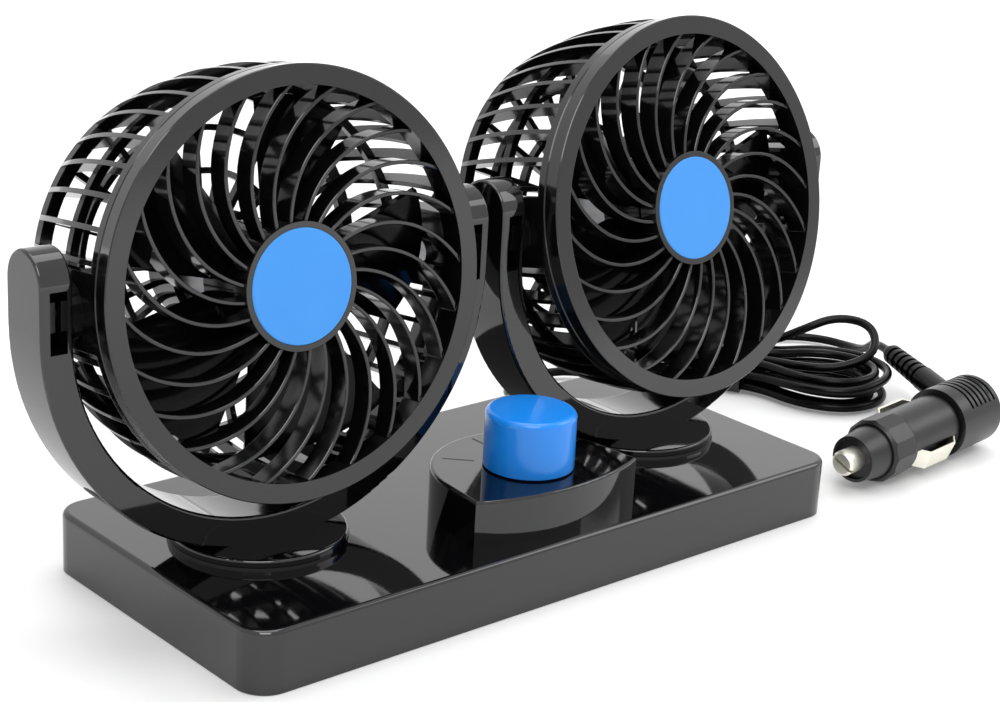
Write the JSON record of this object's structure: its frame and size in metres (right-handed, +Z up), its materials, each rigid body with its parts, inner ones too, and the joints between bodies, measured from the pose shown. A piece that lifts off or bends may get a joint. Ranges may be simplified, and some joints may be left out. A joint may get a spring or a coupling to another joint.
{
  "type": "dual head car fan",
  "caption": "Dashboard fan with two caged fan heads on swivelling yokes over a flat plinth, a round speed knob, and a tied power cord ending in a lighter-socket plug.",
  "frame": {"origin": "centre of the plinth's underside, on the surface it stands on", "axes": "+X along the plinth's long side to the right seen from the front, +Y to the back, +Z up; the knob is on the front side, towards -Y"},
  "size_m": [0.3872, 0.1532, 0.1542],
  "materials": {
    "base_plastic": "gloss",
    "bottom_plastic": "matte",
    "switch_plastic": "matte",
    "cage_plastic": "satin",
    "fan_plastic": "satin",
    "blue_plastic": "satin",
    "badge_plastic": "satin",
    "plug_plastic": "satin",
    "cord_rubber": "satin",
    "tie_plastic": "matte",
    "steel": "brushed",
    "motor_steel": "brushed",
    "nickel": "polished",
    "fuse_metal": "plated"
  },
  "bodies": {
    "base": {"base_housing": "base_plastic", "bottom_plate": "bottom_plastic", "base_screws": "steel", "switch_body": "switch_plastic", "switch_nut": "steel", "cord_gland": "cord_rubber", "cord_lead": "cord_rubber", "cord_hank": "cord_rubber", "cord_tie": "tie_plastic", "cord_tail": "cord_rubber", "plug_nose": "plug_plastic", "plug_collar": "plug_plastic", "plug_body": "plug_plastic", "plug_contacts": "nickel", "plug_fuse": "fuse_metal", "plug_spring": "steel", "plug_grip": "plug_plastic", "plug_relief": "cord_rubber"},
    "speed_knob": {"knob": "blue_plastic", "switch_shaft": "steel"},
    "plug_contact_tip": {"plug_tip": "nickel"},
    "left_stand": {"left_yoke": "base_plastic", "left_swivel_clip": "steel", "left_pivot_nuts": "steel"},
    "left_head": {"left_rear_cage": "cage_plastic", "left_front_grille": "cage_plastic", "left_hub_badge": "badge_plastic", "left_motor": "motor_steel", "left_motor_screws": "steel", "left_pivot_bolts": "steel"},
    "left_fan": {"left_impeller": "fan_plastic", "left_motor_shaft": "steel"},
    "right_stand": {"right_yoke": "base_plastic", "right_swivel_clip": "steel", "right_pivot_nuts": "steel"},
    "right_head": {"right_rear_cage": "cage_plastic", "right_front_grille": "cage_plastic", "right_hub_badge": "badge_plastic", "right_motor": "motor_steel", "right_motor_screws": "steel", "right_pivot_bolts": "steel"},
    "right_fan": {"right_impeller": "fan_plastic", "right_motor_shaft": "steel"}
  },
  "joints": [
    {"name": "knob_turn", "type": "hinge", "parent": "base", "child": "speed_knob", "pos_m": [0.002, -0.026, 0.0405], "axis": [0, 0, -1], "range_deg": [0, 120]},
    {"name": "plug_tip_press", "type": "slide", "parent": "base", "child": "plug_contact_tip", "axis": [0.9964, 0.0784, 0.0312], "range_m": [0, 0.002], "stiffness_N_per_m": 1500, "springref_m": -0.002, "deforming": ["plug_spring"]},
    {"name": "left_swivel", "type": "hinge", "parent": "base", "child": "left_stand", "pos_m": [-0.0735, 0.002, 0.0191], "axis": [0, 0, 1], "range_deg": [-175, 175]},
    {"name": "left_tilt", "type": "hinge", "parent": "left_stand", "child": "left_head", "pos_m": [-0.0735, 0.002, 0.0932], "axis": [0.9994, -0.0349, 0], "range_deg": [-90, 90]},
    {"name": "left_spin", "type": "hinge", "parent": "left_head", "child": "left_fan", "pos_m": [-0.0735, 0.002, 0.0932], "axis": [-0.0346, -0.9911, 0.1288], "continuous": true},
    {"name": "right_swivel", "type": "hinge", "parent": "base", "child": "right_stand", "pos_m": [0.0735, 0.002, 0.0191], "axis": [0, 0, 1], "range_deg": [-175, 175]},
    {"name": "right_tilt", "type": "hinge", "parent": "right_stand", "child": "right_head", "pos_m": [0.0735, 0.002, 0.0932], "axis": [0.9999, 0.014, 0], "range_deg": [-90, 90]},
    {"name": "right_spin", "type": "hinge", "parent": "right_head", "child": "right_fan", "pos_m": [0.0735, 0.002, 0.0932], "axis": [0.0137, -0.9784, 0.2062], "continuous": true}
  ]
}
